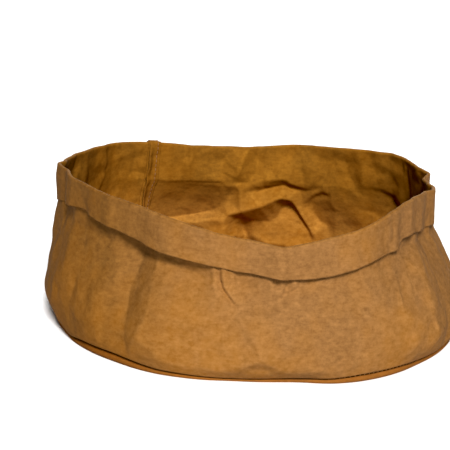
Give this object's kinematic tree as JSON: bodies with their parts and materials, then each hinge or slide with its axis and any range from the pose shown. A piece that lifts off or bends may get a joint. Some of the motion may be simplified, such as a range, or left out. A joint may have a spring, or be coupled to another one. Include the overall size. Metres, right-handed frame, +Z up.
{
  "type": "fabric grow bag",
  "caption": "Low, wide round planter bag of washable kraft paper, open at the top, with a turned-down cuff, a sewn side seam and a flat round base.",
  "frame": {"origin": "centre of the bag's outline on the floor, under the round base", "axes": "+Z up out of the opening; -Y towards the side where the rim dips; +X to the right of that side"},
  "size_m": [0.38, 0.38, 0.139],
  "materials": {
    "paper_wall": "matte, creased washable kraft paper",
    "paper_base": "matte, creased washable kraft paper",
    "thread_light": "matte spun sewing thread",
    "thread_brown": "matte spun sewing thread"
  },
  "bodies": {
    "root": {"wall_panel": "paper_wall", "base_panel": "paper_base", "side_seam_needle_thread": "thread_light", "side_seam_bobbin_thread": "thread_light", "base_seam_needle_thread": "thread_brown", "base_seam_bobbin_thread": "thread_brown"}
  },
  "joints": []
}
